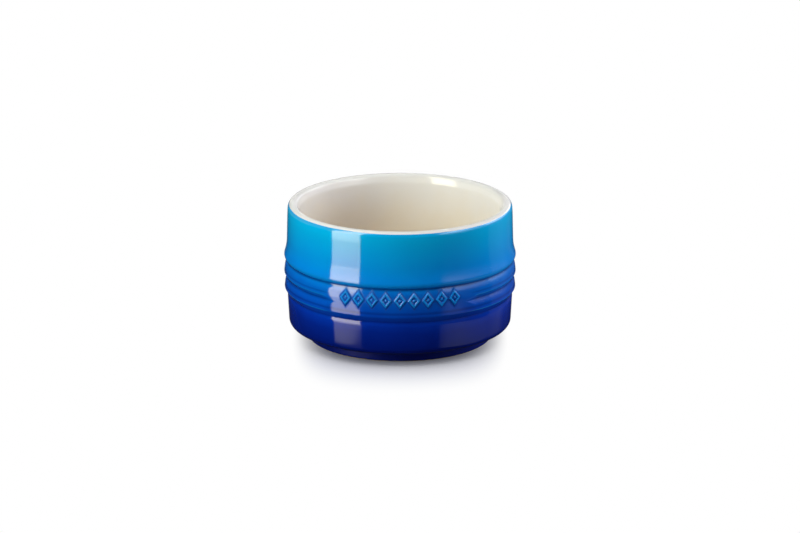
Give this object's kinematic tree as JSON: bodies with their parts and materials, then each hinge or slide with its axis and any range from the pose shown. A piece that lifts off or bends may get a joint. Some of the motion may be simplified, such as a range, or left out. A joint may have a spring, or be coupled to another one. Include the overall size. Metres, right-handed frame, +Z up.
{
  "type": "ramekin",
  "caption": "Round stackable stoneware ramekin with a domed lip, a ribbed waist, a front panel and a recessed foot ring; holds one baked portion.",
  "frame": {"origin": "middle of the circle that the foot ring stands on", "axes": "+Z up along the axis of the dish, the middle of the front panel faces -Y, +X to the right seen from the front"},
  "size_m": [0.0928, 0.0934, 0.0555],
  "materials": {
    "bare_stoneware": "matt",
    "cream_glaze": "gloss",
    "azure_glaze": "gloss",
    "mid_blue_glaze": "gloss",
    "navy_glaze": "gloss"
  },
  "bodies": {
    "root": {"stoneware_body": "bare_stoneware", "liner_glaze": "cream_glaze", "upper_glaze": "azure_glaze", "rib_glaze": "mid_blue_glaze", "lower_glaze": "navy_glaze", "underside_glaze": "navy_glaze"}
  },
  "joints": []
}
